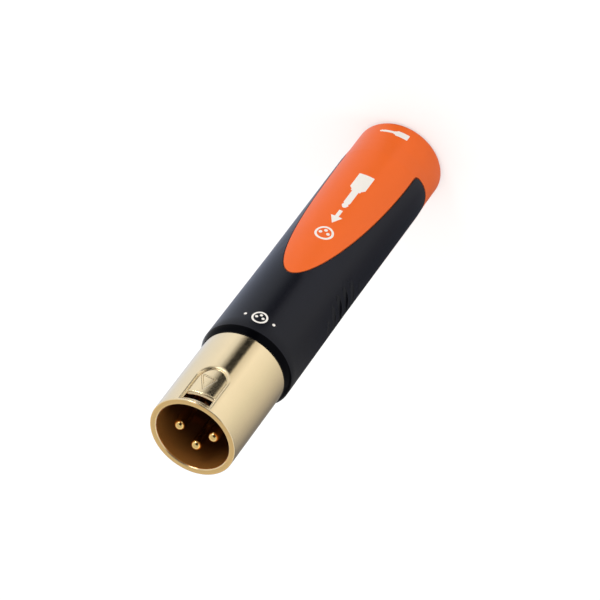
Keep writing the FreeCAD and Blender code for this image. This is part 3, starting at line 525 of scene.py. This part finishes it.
# Levels of the surroundings in reflections, by direction: degrees from the window towards contact 1. The
# light from contact 1's side is cool, as from a window, and the side away from it is dim
TABLE_LEVELS = (
    (-180, (0.22, 0.21, 0.20)),
    (-160, (0.26, 0.25, 0.24)),
    (-138, (0.45, 0.44, 0.42)),
    (-112, (0.68, 0.67, 0.64)),
    (-85, (0.86, 0.86, 0.82)),
    (-60, (1.02, 1.02, 0.98)),
    (-30, (1.14, 1.14, 1.12)),
    (-17, (0.92, 0.9, 0.86)),
    (-9, (0.8, 0.78, 0.72)),
    (-7, (0.02, 0.02, 0.02)),
    (9, (0.02, 0.02, 0.02)),
    (15, (0.3, 0.3, 0.3)),
    (26, (0.9, 0.93, 0.97)),
    (40, (1.06, 1.09, 1.14)),
    (75, (0.95, 1.0, 1.1)),
    (120, (0.84, 0.9, 1.04)),
    (150, (0.6, 0.63, 0.7)),
    (168, (0.36, 0.36, 0.36)),
    (180, (0.22, 0.21, 0.20)),
)
# Close to the part: dim levels on the side away from the light, a painted shadow of the part in its
# reflections
NEAR_LEVELS = (
    (-180, (0.05, 0.05, 0.06)),
    (-150, (0.09, 0.09, 0.11)),
    (-128, (0.13, 0.14, 0.17)),
    (-100, (0.32, 0.32, 0.36)),
    (-72, (0.85, 0.85, 0.9)),
    (-45, (1.0, 1.02, 1.15)),
    (-10, (1.0, 1.02, 1.15)),
    (-7, (0.02, 0.02, 0.02)),
    (7, (0.02, 0.02, 0.02)),
    (18, (0.6, 0.65, 0.72)),
    (30, (0.9, 0.95, 1.05)),
    (75, (0.85, 0.93, 1.15)),
    (120, (0.7, 0.77, 0.98)),
    (155, (0.3, 0.32, 0.38)),
    (180, (0.05, 0.05, 0.06)),
)
# Further away, and the room behind it
FAR_LEVELS = (
    (-180, (0.1, 0.1, 0.1)),
    (-125, (0.12, 0.12, 0.12)),
    (-90, (0.7, 0.7, 0.7)),
    (-60, (1.0, 1.0, 1.0)),
    (140, (1.0, 1.0, 1.0)),
    (165, (0.3, 0.3, 0.3)),
    (180, (0.1, 0.1, 0.1)),
)
ROOM_LEVELS = (
    (-180, (0.5, 0.5, 0.5)),
    (-150, (0.72, 0.72, 0.72)),
    (-110, (0.95, 0.95, 0.95)),
    (-60, (1.0, 1.0, 1.0)),
    (-25, (1.04, 1.04, 1.04)),
    (-14, (0.8, 0.8, 0.8)),
    (-6, (0.2, 0.2, 0.2)),
    (6, (0.2, 0.2, 0.2)),
    (16, (0.7, 0.72, 0.75)),
    (40, (1.0, 1.03, 1.06)),
    (75, (0.95, 1.0, 1.06)),
    (120, (0.86, 0.9, 0.98)),
    (150, (0.62, 0.64, 0.68)),
    (166, (0.4, 0.4, 0.4)),
    (180, (0.5, 0.5, 0.5)),
)


def levelled_card(name, levels):
    """A card round the axis whose level changes with the direction."""
    material, tree, surface = start_card(name, 1.0)
    place = add(tree, "ShaderNodeTexCoord").outputs["Object"]
    parts = add(tree, "ShaderNodeSeparateXYZ", {"Vector": place}).outputs
    front = add(tree, "ShaderNodeMath", {0: parts["Y"], 1: -1.0}, operation="MULTIPLY").outputs[0]
    angle = add(tree, "ShaderNodeMath", {0: parts["X"], 1: front}, operation="ARCTAN2").outputs[0]
    turn = add(tree, "ShaderNodeMapRange", {"Value": angle, "From Min": -math.pi, "From Max": math.pi})
    ramp = add(tree, "ShaderNodeValToRGB", {"Fac": turn.outputs["Result"]})
    stops = ramp.color_ramp.elements
    while len(stops) > 1:
        stops.remove(stops[len(stops) - 1])
    for number, (degrees, colour) in enumerate(levels):
        share = degrees / 360 + 0.5
        stop = stops.new(share) if number else stops[0]
        stop.position = share
        stop.color = rgba(colour)
    tree.links.new(ramp.outputs["Color"], surface.inputs["Emission Color"])
    return material


# Pieces


def dress(node_names, material):
    """Gives CAD nodes one material in every slot."""
    for name in node_names:
        mesh = nodes[name].data
        mesh.materials.clear()
        mesh.materials.append(material)


def into_scene(name, mesh):
    """Makes an object that rides on the part."""
    piece = bpy.data.objects.new(name, mesh)
    bpy.context.scene.collection.objects.link(piece)
    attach(piece, BODY)
    return piece


# Edges of the handle that turn by more degrees than this are sharp
SHARP_FROM = 30
# Share of a chamfer's face normal that points outwards: more than on a level face, less than on a wall
CHAMFER_TILT = (0.3, 0.95)


def collared_handle():
    """The handle again, its collar's chamfer in a skin of its own, darkened as painted shade. It takes the
    CAD node's place.
    """
    copy = bmesh.new()
    copy.from_mesh(nodes["handle_body"].data)
    bmesh.ops.remove_doubles(copy, verts=copy.verts, dist=MERGE)
    mesh = bpy.data.meshes.new("handle_moulding")
    copy.to_mesh(mesh)
    copy.free()
    for kept in ("custom_normal", "sharp_edge", "sharp_face"):
        if kept in mesh.attributes:
            mesh.attributes.remove(mesh.attributes[kept])
    mesh.shade_smooth()
    mesh.set_sharp_from_angle(angle=math.radians(SHARP_FROM))
    mesh.materials.clear()
    mesh.materials.append(black_abs())
    mesh.materials.append(shaded_collar_abs())
    flattest, steepest = CHAMFER_TILT
    for face in mesh.polygons:
        outwards = Vector((face.center.x, face.center.y, 0.0)).normalized()
        tilted = flattest < face.normal.dot(outwards) < steepest
        face.material_index = int(tilted and face.center.z > COLLAR_CHAMFER)
    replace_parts(into_scene("handle_moulding", mesh), "handle_body")


# Corners of a printed ring and of a printed dot
RING_STEPS = 48
DOT_STEPS = 20
# A drawing is cut every so far across, this many times to each side, so that it can bend round the part
CUT_EVERY = 0.4 * MM
CUTS = 12


def plated(mesh, thickness):
    """Turns a flat drawing in X and Z into a plate, with its back at Y = 0 and its front towards -Y."""
    drawing = bmesh.new()
    drawing.from_mesh(mesh)
    bmesh.ops.remove_doubles(drawing, verts=drawing.verts, dist=MERGE)
    grown = bmesh.ops.extrude_face_region(drawing, geom=drawing.faces[:])
    moved = [item for item in grown["geom"] if isinstance(item, bmesh.types.BMVert)]
    bmesh.ops.translate(drawing, verts=moved, vec=(0, -thickness, 0))
    bmesh.ops.recalc_face_normals(drawing, faces=drawing.faces)
    drawing.to_mesh(mesh)
    drawing.free()


def filled(drawing, outline):
    """Adds a filled polygon, given as (across, up) in millimetres."""
    corners = [drawing.verts.new((across * MM, 0, up * MM)) for across, up in outline]
    drawing.faces.new(corners)


def round_points(middle, radius, steps):
    """Points round a circle, in millimetres."""
    turns = [2 * math.pi * step / steps for step in range(steps)]
    return [(middle[0] + radius * math.cos(turn), middle[1] + radius * math.sin(turn)) for turn in turns]


def ring_of(drawing, middle, outer, inner):
    """Adds a flat ring, given in millimetres."""
    outside, inside = (
        [drawing.verts.new((x * MM, 0, z * MM)) for x, z in round_points(middle, radius, RING_STEPS)]
        for radius in (outer, inner)
    )
    for step in range(RING_STEPS):
        after = (step + 1) % RING_STEPS
        drawing.faces.new((outside[step], outside[after], inside[after], inside[step]))


def mirrored(half):
    """A closed outline from its right half, which runs upwards."""
    return half + [(-across, up) for across, up in reversed(half)]


def plug_outline(length, width):
    """A jack plug in silhouette, pointing up, with its middle at the origin.

    It is drawn from shares of half the width and of the length: handle, collar, shaft, groove and tip.
    """
    shares = [
        (1.0, 0.0),
        (1.0, 0.40),
        (0.62, 0.46),
        (0.62, 0.50),
        (0.42, 0.50),
        (0.42, 0.86),
        (0.28, 0.885),
        (0.42, 0.93),
        (0.22, 0.985),
        (0.08, 1.0),
    ]
    half = [(across * width / 2, (up - 0.5) * length) for across, up in shares]
    return mirrored(half)


def draw_connector_face(drawing, middle, radius):
    """A ring with three dots, as the face of a three-contact connector looks."""
    hole, circle, dot = 0.76 * radius, 0.42 * radius, 0.19 * radius
    ring_of(drawing, middle, radius, hole)
    for across, up in ((-circle, 0.0), (circle, 0.0), (0.0, -circle)):
        spot = (middle[0] + across, middle[1] + up)
        filled(drawing, round_points(spot, dot, DOT_STEPS))


def route_mark(drawing):
    """Jack plug, arrow and three-contact face, one above the other: what the adapter joins."""
    plug_length, plug_width, plug_middle = 12.2, 3.6, -6.2
    filled(drawing, [(across, up + plug_middle) for across, up in plug_outline(plug_length, plug_width)])
    stem, head = 0.42, 1.35
    stem_foot, head_foot, tip = 1.0, 3.2, 5.6
    filled(drawing, [(-stem, stem_foot), (stem, stem_foot), (stem, head_foot), (-stem, head_foot)])
    filled(drawing, [(-head, head_foot), (head, head_foot), (0.0, tip)])
    face_middle, face_radius = (0.0, 9.4), 2.1
    draw_connector_face(drawing, face_middle, face_radius)


def face_mark(drawing):
    """Three-contact face between two dots."""
    face_radius, dot_radius, dot_place = 1.75, 0.34, 3.3
    draw_connector_face(drawing, (0.0, 0.0), face_radius)
    for across in (-dot_place, dot_place):
        filled(drawing, round_points((across, 0.0), dot_radius, DOT_STEPS))


def plug_mark(drawing):
    """A small jack plug on its side."""
    length, width = 7.0, 1.7
    filled(drawing, [(up, across) for across, up in reversed(plug_outline(length, width))])


def wrapping_tree():
    """Geometry Nodes that lay a flat plate on the outside of an upright round part.

    Across the plate runs round the part, up stays up, and the plate's thickness points outwards. A ray from
    twice the radius finds the surface under each point.
    """
    tree = bpy.data.node_groups.new("Lay on a round surface", "GeometryNodeTree")
    sockets = (
        ("Plate", "INPUT", "NodeSocketGeometry"),
        ("Surface", "INPUT", "NodeSocketObject"),
        ("Radius", "INPUT", "NodeSocketFloat"),
        ("Turn", "INPUT", "NodeSocketFloat"),
        ("Ink", "INPUT", "NodeSocketMaterial"),
        ("Print", "OUTPUT", "NodeSocketGeometry"),
    )
    for name, way, kind in sockets:
        tree.interface.new_socket(name, in_out=way, socket_type=kind)
    inputs = add(tree, "NodeGroupInput").outputs
    place = add(tree, "GeometryNodeInputPosition").outputs["Position"]
    parts = add(tree, "ShaderNodeSeparateXYZ", {"Vector": place}).outputs
    turn = add(tree, "ShaderNodeMath", {0: parts["X"], 1: inputs["Radius"]}, operation="DIVIDE").outputs[0]
    angle = add(tree, "ShaderNodeMath", {0: turn, 1: inputs["Turn"]}, operation="ADD").outputs[0]
    sine = add(tree, "ShaderNodeMath", {0: angle}, operation="SINE").outputs[0]
    cosine = add(tree, "ShaderNodeMath", {0: angle}, operation="COSINE").outputs[0]
    minus = add(tree, "ShaderNodeMath", {0: cosine, 1: -1.0}, operation="MULTIPLY").outputs[0]
    outwards = add(tree, "ShaderNodeCombineXYZ", {"X": sine, "Y": minus}).outputs[0]
    far = add(tree, "ShaderNodeMath", {0: inputs["Radius"], 1: 2.0}, operation="MULTIPLY").outputs[0]
    away = add(tree, "ShaderNodeVectorMath", {0: outwards, "Scale": far}, operation="SCALE").outputs[0]
    level = add(tree, "ShaderNodeCombineXYZ", {"Z": parts["Z"]}).outputs[0]
    start = add(tree, "ShaderNodeVectorMath", {0: away, 1: level}, operation="ADD").outputs[0]
    inwards = add(tree, "ShaderNodeVectorMath", {0: outwards, "Scale": -1.0}, operation="SCALE").outputs[0]
    surface = add(tree, "GeometryNodeObjectInfo", {"Object": inputs["Surface"]}).outputs["Geometry"]
    ray = add(
        tree,
        "GeometryNodeRaycast",
        {
            "Target Geometry": surface,
            "Source Position": start,
            "Ray Direction": inwards,
            "Ray Length": far,
        },
    ).outputs["Hit Position"]
    depth = add(tree, "ShaderNodeMath", {0: parts["Y"], 1: -1.0}, operation="MULTIPLY").outputs[0]
    lift = add(tree, "ShaderNodeVectorMath", {0: outwards, "Scale": depth}, operation="SCALE").outputs[0]
    laid = add(tree, "ShaderNodeVectorMath", {0: ray, 1: lift}, operation="ADD").outputs[0]
    moved = add(tree, "GeometryNodeSetPosition", {"Geometry": inputs["Plate"], "Position": laid})
    solid = add(tree, "GeometryNodeRealizeInstances", {"Geometry": moved.outputs["Geometry"]})
    inked = add(
        tree,
        "GeometryNodeSetMaterial",
        {"Geometry": solid.outputs["Geometry"], "Material": inputs["Ink"]},
    )
    add(tree, "NodeGroupOutput", {"Print": inked.outputs["Geometry"]})
    return tree


def run_tree(name, mesh, tree, values):
    """Runs a Geometry Nodes tree on a mesh and returns the result as a plain mesh of its own."""
    carrier = bpy.data.objects.new(name + "_carrier", mesh)
    bpy.context.scene.collection.objects.link(carrier)
    modifier = carrier.modifiers.new("tree", "NODES")
    modifier.node_group = tree
    for item in tree.interface.items_tree:
        if item.in_out == "INPUT" and item.name in values:
            modifier[item.identifier] = values[item.name]
    evaluated = carrier.evaluated_get(bpy.context.evaluated_depsgraph_get())
    result = bpy.data.meshes.new_from_object(evaluated)
    result.name = name
    carrier.modifiers.remove(modifier)
    bpy.data.objects.remove(carrier)
    return result


def print_on(name, surface, draw, place, radius, turn, ink):
    """Prints a drawing on a round piece, as thin ink whose back lies on the surface."""
    drawing = bmesh.new()
    draw(drawing)
    bmesh.ops.translate(drawing, verts=drawing.verts, vec=(0, 0, place))
    for step in range(-CUTS, CUTS + 1):
        bmesh.ops.bisect_plane(
            drawing,
            geom=drawing.verts[:] + drawing.edges[:] + drawing.faces[:],
            plane_co=(step * CUT_EVERY, 0, 0),
            plane_no=(1, 0, 0),
        )
    mesh = bpy.data.meshes.new(name + "_drawing")
    drawing.to_mesh(mesh)
    drawing.free()
    plated(mesh, bpy.context.scene.adapter_sizes.ink_thickness)
    values = {"Surface": surface, "Radius": radius, "Turn": math.radians(turn), "Ink": ink}
    into_scene(name, run_tree(name, mesh, wrapping_tree(), values))


# Operators


class ADAPTER_OT_finish_connector(bpy.types.Operator):
    """Plates the shell and the contacts, and finishes the insert with its circlip and earth spring"""

    bl_idname = "adapter.finish_connector"
    bl_label = "Finish the connector"

    def execute(self, context):
        dress(["xlr_shell"], gold_plated_zinc())
        dress(["pin_1", "pin_2", "pin_3"], gold_plated_brass())
        dress(["xlr_insert"], filled_polyester())
        dress(["insert_circlip"], rolled_strip("bright spring steel", "#9A9C9F"))
        dress(["shell_earth_spring"], rolled_strip("phosphor bronze", "#C08A55"))
        return {"FINISHED"}


class ADAPTER_OT_finish_mouldings(bpy.types.Operator):
    """Makes the black handle and finishes the orange cap"""

    bl_idname = "adapter.finish_mouldings"
    bl_label = "Finish the mouldings"

    def execute(self, context):
        dress(["end_cap"], orange_abs())
        collared_handle()
        return {"FINISHED"}


class ADAPTER_OT_finish_jack(bpy.types.Operator):
    """Finishes the jack socket: bush, nut, washer, frame and contact leaves"""

    bl_idname = "adapter.finish_jack"
    bl_label = "Finish the jack socket"

    def execute(self, context):
        dress(["jack_bush", "jack_nut", "jack_washer"], turned_nickel())
        dress(["jack_frame", "jack_rear_plate"], filled_polyester())
        dress(["tip_spring", "sleeve_spring"], rolled_strip("nickel silver leaf", "#B9B2A4"))
        return {"FINISHED"}


class ADAPTER_OT_finish_wires(bpy.types.Operator):
    """Finishes the wires"""

    bl_idname = "adapter.finish_wires"
    bl_label = "Finish the wires"

    def execute(self, context):
        low = TAG_TOP + TAG_BARE
        dress(["hot_wire"], wire_insulation("red PVC wire", "#A81E1A", low, CUP_END - HOT_BARE))
        dress(["earth_wire"], wire_insulation("black PVC wire", "#1B1B1D", low, CUP_END - EARTH_BARE))
        dress(["pin_link_wire"], tinned_copper())
        return {"FINISHED"}


class ADAPTER_OT_print_marks(bpy.types.Operator):
    """Prints the plain signs on the handle and the cap"""

    bl_idname = "adapter.print_marks"
    bl_label = "Print the marks"

    def execute(self, context):
        sizes = context.scene.adapter_sizes
        ink = pad_print_ink()
        cap = (nodes["end_cap"], CAP_RADIUS, "cap_plastic")
        handle = (bpy.data.objects["handle_moulding"], HANDLE_RADIUS, "handle_plastic")
        # Name, drawing, place, degrees from the window, and what it is printed on
        marks = (
            ("route_mark", route_mark, sizes.route_mark_place, -4.5, cap),
            ("face_mark", face_mark, sizes.face_mark_place, -4.5, handle),
            ("plug_mark", plug_mark, sizes.plug_mark_place, 2.0, cap),
        )
        for name, draw, place, turn, (surface, radius, slot) in marks:
            print_on(name, surface, draw, place, radius, turn, ink)
        return {"FINISHED"}


class ADAPTER_OT_set_stage(bpy.types.Operator):
    """Sets the camera, the lamps, the world and the paper floor"""

    bl_idname = "adapter.set_stage"
    bl_label = "Set the stage"

    def execute(self, context):
        scene = context.scene
        scene.view_settings.view_transform = "Standard"
        place_camera(scene)
        light_world(scene)
        for lamp in LAMPS:
            hang_lamp(*lamp)
        lay_floor()
        stand_cards()
        return {"FINISHED"}


# Camera, fitted to the outline in the photograph: degrees, a distance, the point that it looks at, and a
# focal length in pixels of a frame that is 600 pixels wide
CAMERA_AZIMUTH = -24.913
CAMERA_ELEVATION = 44.236
CAMERA_ROLL = -143.168
CAMERA_DISTANCE = 760.6 * MM
CAMERA_AIM = Vector((-0.75, 0.35, 52.80)) * MM
SENSOR = 36.0
LENS = 3628.17 / 600 * SENSOR

# Soft boxes: name, direction from the part, distance, width, power, and whether reflections show the lamp
LAMPS = (
    ("key", (0.42, -0.88, 0.28), 0.9, 0.3, 2.2, True),
    ("overhead", (0.3018, 0.6498, 0.6976), 0.8, 0.9, 1.4, False),
    ("side", (-0.74, -0.12, 0.66), 0.9, 0.25, 1.2, False),
)
# What the studio's white gives as light, beside what the eye sees of it
WORLD_LIGHT = 0.9
WORLD_SEEN = 1.0

# Cards round the axis: name, inner and outer radius, inner and outer height in millimetres, and levels
CARD_RINGS = (
    ("near_table", 4, 82, 0.6, 0.6, NEAR_LEVELS),
    ("table", 82, 130, 0.4, 0.4, TABLE_LEVELS),
    ("far_table", 130, 260, 0.2, 0.2, FAR_LEVELS),
    ("room", 260, 260, 0.0, 150, ROOM_LEVELS),
)
CARD_STEPS = 60
# The ceiling is a flat cone: its radius, and its height in the middle and at the edge
CEILING_RADIUS = 900 * MM
CEILING_MIDDLE = 800 * MM
CEILING_EDGE = 700 * MM
CEILING_LEVEL = 0.72
# The dark card at the lens, which metal that faces the camera shows
LENS_CARD_HALF = 300 * MM
LENS_CARD_DISTANCE = 600 * MM
LENS_CARD_LEVEL = 0.03
FLOOR_HALF = 3000 * MM


def back_of_camera():
    """The direction from the part to the camera. Azimuth 0 looks along +Y."""
    turn, rise = math.radians(CAMERA_AZIMUTH), math.radians(CAMERA_ELEVATION)
    return Vector((math.sin(turn) * math.cos(rise), -math.cos(turn) * math.cos(rise), math.sin(rise)))


def place_camera(scene):
    """The camera looks down on the mouth, past the window, from the side of contact 2."""
    back = back_of_camera()
    data = bpy.data.cameras.new("camera")
    data.sensor_width = SENSOR
    data.lens = LENS
    data.clip_start = 0.05
    data.clip_end = 50.0
    data.dof.use_dof = False
    camera = bpy.data.objects.new("camera", data)
    scene.collection.objects.link(camera)
    camera.location = CAMERA_AIM + back * CAMERA_DISTANCE
    camera.rotation_mode = "QUATERNION"
    upright = (-back).to_track_quat("-Z", "Y")
    camera.rotation_quaternion = upright @ Quaternion((0, 0, 1), math.radians(CAMERA_ROLL))
    scene.camera = camera


def light_world(scene):
    """An even white studio. The camera and reflections see it at full white, and it lights a bit less."""
    world = bpy.data.worlds.new("studio")
    scene.world = world
    world.use_nodes = True
    tree = world.node_tree
    tree.nodes.clear()
    span = {"Value": seen_share(tree), "To Min": WORLD_LIGHT, "To Max": WORLD_SEEN}
    level = add(tree, "ShaderNodeMapRange", span).outputs["Result"]
    sky = add(tree, "ShaderNodeBackground", {"Color": WHITE, "Strength": level})
    add(tree, "ShaderNodeOutputWorld", {"Surface": sky.outputs["Background"]})


def hang_lamp(name, direction, distance, width, power, reflected):
    """A square soft box that faces the middle of the part."""
    data = bpy.data.lights.new(name, "AREA")
    data.shape = "SQUARE"
    data.size = width
    data.energy = power
    lamp = bpy.data.objects.new(name, data)
    bpy.context.scene.collection.objects.link(lamp)
    middle = (BOTTOM + TOP) / 2
    away = Vector(direction).normalized()
    lamp.location = middle + away * distance
    lamp.rotation_mode = "QUATERNION"
    lamp.rotation_quaternion = (-away).to_track_quat("-Z", "Y")
    lamp.visible_glossy = reflected


def stage_piece(name, corners, faces, material):
    """A piece of the stage from its corners and faces."""
    mesh = bpy.data.meshes.new(name)
    mesh.from_pydata(corners, [], faces)
    mesh.materials.append(material)
    piece = bpy.data.objects.new(name, mesh)
    bpy.context.scene.collection.objects.link(piece)
    return piece


def lay_floor():
    """A sheet of paper that the part stands on."""
    half = FLOOR_HALF
    corners = [(-half, -half, 0), (half, -half, 0), (half, half, 0), (-half, half, 0)]
    stage_piece("paper_floor", corners, [(0, 1, 2, 3)], background_paper())


def only_reflected(piece):
    """Lets a card show in reflections alone, so that it casts no shade and stays out of every view."""
    piece.visible_camera = False
    piece.visible_diffuse = False
    piece.visible_transmission = False
    piece.visible_volume_scatter = False
    piece.visible_shadow = False


def ring_strip(inner, outer, low, high):
    """Corners and faces of a strip all round the axis, between two radii and two heights."""
    corners, faces = [], []
    for step in range(CARD_STEPS + 1):
        turn = math.radians(360 * step / CARD_STEPS - 180)
        corners.append((inner * math.sin(turn), -inner * math.cos(turn), low))
        corners.append((outer * math.sin(turn), -outer * math.cos(turn), high))
        if step:
            faces.append((step * 2 - 2, step * 2, step * 2 + 1, step * 2 - 1))
    return corners, faces


def stand_cards():
    """Cards for the reflections: the table top in three rings, the room, the ceiling and the lens's side."""
    for name, inner, outer, low, high, levels in CARD_RINGS:
        strip = ring_strip(inner * MM, outer * MM, low * MM, high * MM)
        only_reflected(stage_piece(name + "_card", *strip, levelled_card(name + " card", levels)))
    ceiling = ring_strip(0.0, CEILING_RADIUS, CEILING_MIDDLE, CEILING_EDGE)
    only_reflected(stage_piece("ceiling_card", *ceiling, grey_card("ceiling card", CEILING_LEVEL)))
    away = back_of_camera()
    side = Vector((away.y, -away.x, 0.0)).normalized() * LENS_CARD_HALF
    rise = away.cross(side).normalized() * LENS_CARD_HALF
    middle = CAMERA_AIM + away * LENS_CARD_DISTANCE
    corners = [middle + side * across + rise * up for across, up in ((-1, -1), (1, -1), (1, 1), (-1, 1))]
    lens_card = grey_card("lens card", LENS_CARD_LEVEL)
    only_reflected(stage_piece("lens_card", corners, [(0, 1, 2, 3)], lens_card))


class ADAPTER_PT_tools(bpy.types.Panel):
    """Lists the adapter's sizes, colours and operators"""

    bl_idname = "ADAPTER_PT_tools"
    bl_label = "Adapter"
    bl_space_type = "VIEW_3D"
    bl_region_type = "UI"
    bl_category = "Adapter"

    def draw(self, context):
        layout = self.layout
        for group in (context.scene.adapter_sizes, context.scene.adapter_colours):
            for name in group.__annotations__:
                layout.prop(group, name)
        for operator in OPERATORS:
            layout.operator(operator.bl_idname)


OPERATORS = (
    ADAPTER_OT_set_stage,
    ADAPTER_OT_finish_connector,
    ADAPTER_OT_finish_mouldings,
    ADAPTER_OT_finish_jack,
    ADAPTER_OT_finish_wires,
    ADAPTER_OT_print_marks,
)
CLASSES = (AdapterSizes, AdapterColours, *OPERATORS, ADAPTER_PT_tools)


def register():
    for item in CLASSES:
        bpy.utils.register_class(item)
    bpy.types.Scene.adapter_sizes = PointerProperty(type=AdapterSizes)
    bpy.types.Scene.adapter_colours = PointerProperty(type=AdapterColours)


def unregister():
    del bpy.types.Scene.adapter_colours
    del bpy.types.Scene.adapter_sizes
    for item in reversed(CLASSES):
        bpy.utils.unregister_class(item)


def main():
    """Makes everything in order."""
    register()
    bpy.ops.adapter.set_stage()
    bpy.ops.adapter.finish_connector()
    bpy.ops.adapter.finish_mouldings()
    bpy.ops.adapter.finish_jack()
    bpy.ops.adapter.finish_wires()
    bpy.ops.adapter.print_marks()


if __name__ == "__main__":
    main()
